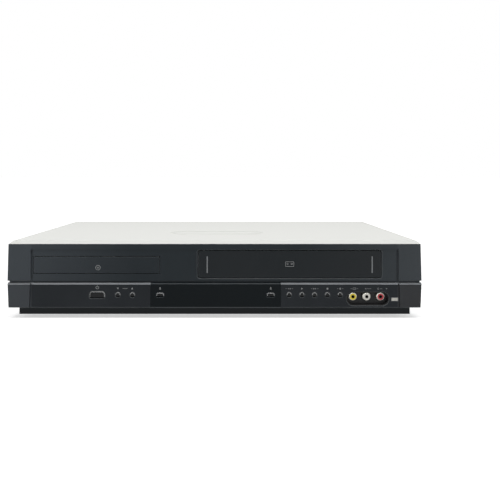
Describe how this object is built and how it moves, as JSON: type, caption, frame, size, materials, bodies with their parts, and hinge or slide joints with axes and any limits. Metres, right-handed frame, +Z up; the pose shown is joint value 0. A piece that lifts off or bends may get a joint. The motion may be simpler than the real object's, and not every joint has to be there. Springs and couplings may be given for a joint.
{
  "type": "dvd vcr combo player",
  "caption": "Slim home disc and video cassette player: sliding disc tray, sprung cassette flap, sprung front buttons, phono inputs and rear sockets.",
  "frame": {"origin": "on the ground below the middle of the case", "axes": "+X to the right seen from the front, -Y is the front, +Z up"},
  "size_m": [0.43, 0.265, 0.08],
  "materials": {
    "top_cover": "satin paint",
    "bottom_pan": "galvanised",
    "rear_panel": "satin black",
    "case_feet": "matte",
    "foot_pads": "matte",
    "case_screws": "black zinc",
    "front_fascia": "fine satin",
    "lower_panel": "semi gloss",
    "bevel_trim": "silver",
    "display_window": "polished smoked",
    "jack_bezel": "matte black",
    "video_jack": "yellow",
    "left_audio_jack": "white",
    "right_audio_jack": "red",
    "front_board": "green laminate",
    "display_module": "smoked glass",
    "scart_sockets": "matte black",
    "output_jacks": "matte black",
    "tuner_can": "tinned",
    "mains_inlet": "matte black",
    "main_board": "green laminate",
    "power_board": "brown laminate",
    "transformer": "yellow tape",
    "loader_frame": "moulded",
    "disc_tray": "moulded",
    "tray_door": "fine satin",
    "tray_pinion": "acetal",
    "motor_pulley": "acetal",
    "loader_motor": "plated",
    "loader_belt": "matte",
    "traverse_plate": "pressed",
    "pickup_sled": "cast",
    "turntable": "moulded",
    "clamp_bridge": "pressed",
    "clamp_puck": "moulded",
    "cassette_flap": "semi gloss",
    "flap_strips": "pale grey",
    "deck_chassis": "galvanised",
    "carrier_slider": "galvanised",
    "cassette_carrier": "galvanised",
    "drum_base": "turned",
    "head_drum": "turned",
    "supply_reel": "acetal",
    "take_up_reel": "acetal",
    "capstan": "ground",
    "pinch_arm": "pressed",
    "pinch_roller": "matte",
    "supply_guide": "ground",
    "take_up_guide": "ground",
    "loading_cam": "acetal",
    "power_button": "semi gloss",
    "program_down_button": "semi gloss",
    "program_up_button": "semi gloss",
    "disc_eject_button": "semi gloss",
    "tape_eject_button": "semi gloss",
    "rewind_button": "semi gloss",
    "play_button": "semi gloss",
    "forward_button": "semi gloss",
    "stop_button": "semi gloss",
    "record_button": "semi gloss"
  },
  "bodies": {
    "case": {"top_cover": "top_cover", "bottom_pan": "bottom_pan", "rear_panel": "rear_panel", "case_feet": "case_feet", "foot_pads": "foot_pads", "case_screws": "case_screws", "front_fascia": "front_fascia", "lower_panel": "lower_panel", "bevel_trim": "bevel_trim", "display_window": "display_window", "jack_bezel": "jack_bezel", "video_jack": "video_jack", "left_audio_jack": "left_audio_jack", "right_audio_jack": "right_audio_jack", "front_board": "front_board", "display_module": "display_module", "scart_sockets": "scart_sockets", "output_jacks": "output_jacks", "tuner_can": "tuner_can", "mains_inlet": "mains_inlet", "main_board": "main_board", "power_board": "power_board", "transformer": "transformer", "loader_frame": "loader_frame", "loader_motor": "loader_motor", "loader_belt": "loader_belt", "clamp_bridge": "clamp_bridge", "deck_chassis": "deck_chassis", "drum_base": "drum_base"},
    "tray": {"disc_tray": "disc_tray", "tray_door": "tray_door"},
    "tray_pinion": {"tray_pinion": "tray_pinion"},
    "motor_pulley": {"motor_pulley": "motor_pulley"},
    "traverse": {"traverse_plate": "traverse_plate"},
    "sled": {"pickup_sled": "pickup_sled"},
    "turntable": {"turntable": "turntable"},
    "puck": {"clamp_puck": "clamp_puck"},
    "flap": {"cassette_flap": "cassette_flap", "flap_strips": "flap_strips"},
    "slider": {"carrier_slider": "carrier_slider"},
    "carrier": {"cassette_carrier": "cassette_carrier"},
    "drum": {"head_drum": "head_drum"},
    "supply_reel": {"supply_reel": "supply_reel"},
    "take_up_reel": {"take_up_reel": "take_up_reel"},
    "capstan": {"capstan": "capstan"},
    "pinch_arm": {"pinch_arm": "pinch_arm"},
    "pinch_roller": {"pinch_roller": "pinch_roller"},
    "supply_guide": {"supply_guide": "supply_guide"},
    "take_up_guide": {"take_up_guide": "take_up_guide"},
    "loading_cam": {"loading_cam": "loading_cam"},
    "power_button": {"power_button": "power_button"},
    "program_down_button": {"program_down_button": "program_down_button"},
    "program_up_button": {"program_up_button": "program_up_button"},
    "disc_eject_button": {"disc_eject_button": "disc_eject_button"},
    "tape_eject_button": {"tape_eject_button": "tape_eject_button"},
    "rewind_button": {"rewind_button": "rewind_button"},
    "play_button": {"play_button": "play_button"},
    "forward_button": {"forward_button": "forward_button"},
    "stop_button": {"stop_button": "stop_button"},
    "record_button": {"record_button": "record_button"}
  },
  "joints": [
    {"name": "tray_slide", "type": "slide", "parent": "case", "child": "tray", "axis": [0, -1, 0], "range_m": [0, 0.134]},
    {"name": "pinion_spin", "type": "hinge", "parent": "case", "child": "tray_pinion", "pos_m": [-0.1645, -0.104, 0.044], "axis": [0, 0, 1], "range_deg": [0, 775]},
    {"name": "motor_spin", "type": "hinge", "parent": "case", "child": "motor_pulley", "pos_m": [-0.1385, -0.104, 0.04], "axis": [0, 0, 1], "range_deg": [0, 2700]},
    {"name": "traverse_lift", "type": "hinge", "parent": "case", "child": "traverse", "pos_m": [-0.1225, 0.03, 0.037], "axis": [-1, 0, 0], "range_deg": [0, 3.4]},
    {"name": "sled_slide", "type": "slide", "parent": "traverse", "child": "sled", "axis": [0, 1, 0], "range_m": [0, 0.03]},
    {"name": "turntable_spin", "type": "hinge", "parent": "traverse", "child": "turntable", "pos_m": [-0.1225, -0.0585, 0.045], "axis": [0, 0, 1], "continuous": true},
    {"name": "puck_spin", "type": "hinge", "parent": "case", "child": "puck", "pos_m": [-0.1225, -0.0585, 0.06], "axis": [0, 0, 1], "continuous": true},
    {"name": "flap_swing", "type": "hinge", "parent": "case", "child": "flap", "pos_m": [0.078, -0.1275, 0.0724], "axis": [1, 0, 0], "range_deg": [0, 85], "stiffness_Nm_per_rad": 0.02, "springref_deg": -20.05},
    {"name": "carrier_in", "type": "slide", "parent": "case", "child": "slider", "axis": [0, 1, 0], "range_m": [0, 0.085]},
    {"name": "carrier_drop", "type": "slide", "parent": "slider", "child": "carrier", "axis": [0, 0, -1], "range_m": [0, 0.018]},
    {"name": "drum_spin", "type": "hinge", "parent": "case", "child": "drum", "pos_m": [0.078, 0.084, 0.04], "axis": [0, 0, 1], "continuous": true},
    {"name": "supply_reel_spin", "type": "hinge", "parent": "case", "child": "supply_reel", "pos_m": [0.032, -0.025, 0.025], "axis": [0, 0, 1], "continuous": true},
    {"name": "take_up_reel_spin", "type": "hinge", "parent": "case", "child": "take_up_reel", "pos_m": [0.124, -0.025, 0.025], "axis": [0, 0, 1], "continuous": true},
    {"name": "capstan_spin", "type": "hinge", "parent": "case", "child": "capstan", "pos_m": [0.13, 0.052, 0.03], "axis": [0, 0, 1], "continuous": true},
    {"name": "pinch_arm_swing", "type": "hinge", "parent": "case", "child": "pinch_arm", "pos_m": [0.158, 0.066, 0.024], "axis": [0, 0, 1], "range_deg": [0, 26.5]},
    {"name": "pinch_roller_spin", "type": "hinge", "parent": "pinch_arm", "child": "pinch_roller", "pos_m": [0.1345, 0.066, 0.034], "axis": [0, 0, 1], "continuous": true},
    {"name": "supply_guide_slide", "type": "slide", "parent": "case", "child": "supply_guide", "axis": [0, 1, 0], "range_m": [0, 0.038]},
    {"name": "take_up_guide_slide", "type": "slide", "parent": "case", "child": "take_up_guide", "axis": [0, 1, 0], "range_m": [0, 0.038]},
    {"name": "loading_cam_turn", "type": "hinge", "parent": "case", "child": "loading_cam", "pos_m": [0.008, 0.072, 0.024], "axis": [0, 0, 1], "range_deg": [0, 120]},
    {"name": "power_press", "type": "slide", "parent": "case", "child": "power_button", "axis": [0, 1, 0], "range_m": [0, 0.0008], "stiffness_N_per_m": 600},
    {"name": "program_down_press", "type": "slide", "parent": "case", "child": "program_down_button", "axis": [0, 1, 0], "range_m": [0, 0.0008], "stiffness_N_per_m": 600},
    {"name": "program_up_press", "type": "slide", "parent": "case", "child": "program_up_button", "axis": [0, 1, 0], "range_m": [0, 0.0008], "stiffness_N_per_m": 600},
    {"name": "disc_eject_press", "type": "slide", "parent": "case", "child": "disc_eject_button", "axis": [0, 1, 0], "range_m": [0, 0.0008], "stiffness_N_per_m": 600},
    {"name": "tape_eject_press", "type": "slide", "parent": "case", "child": "tape_eject_button", "axis": [0, 1, 0], "range_m": [0, 0.0008], "stiffness_N_per_m": 600},
    {"name": "rewind_press", "type": "slide", "parent": "case", "child": "rewind_button", "axis": [0, 1, 0], "range_m": [0, 0.0008], "stiffness_N_per_m": 600},
    {"name": "play_press", "type": "slide", "parent": "case", "child": "play_button", "axis": [0, 1, 0], "range_m": [0, 0.0008], "stiffness_N_per_m": 600},
    {"name": "forward_press", "type": "slide", "parent": "case", "child": "forward_button", "axis": [0, 1, 0], "range_m": [0, 0.0008], "stiffness_N_per_m": 600},
    {"name": "stop_press", "type": "slide", "parent": "case", "child": "stop_button", "axis": [0, 1, 0], "range_m": [0, 0.0008], "stiffness_N_per_m": 600},
    {"name": "record_press", "type": "slide", "parent": "case", "child": "record_button", "axis": [0, 1, 0], "range_m": [0, 0.0008], "stiffness_N_per_m": 600}
  ],
  "couplings": [
    {"joint": "pinion_spin", "follows": "tray_slide", "rad_per_m": 100},
    {"joint": "motor_spin", "follows": "tray_slide", "rad_per_m": 350},
    {"joint": "take_up_guide_slide", "follows": "supply_guide_slide", "ratio": 1},
    {"joint": "loading_cam_turn", "follows": "supply_guide_slide", "rad_per_m": 55.116}
  ]
}
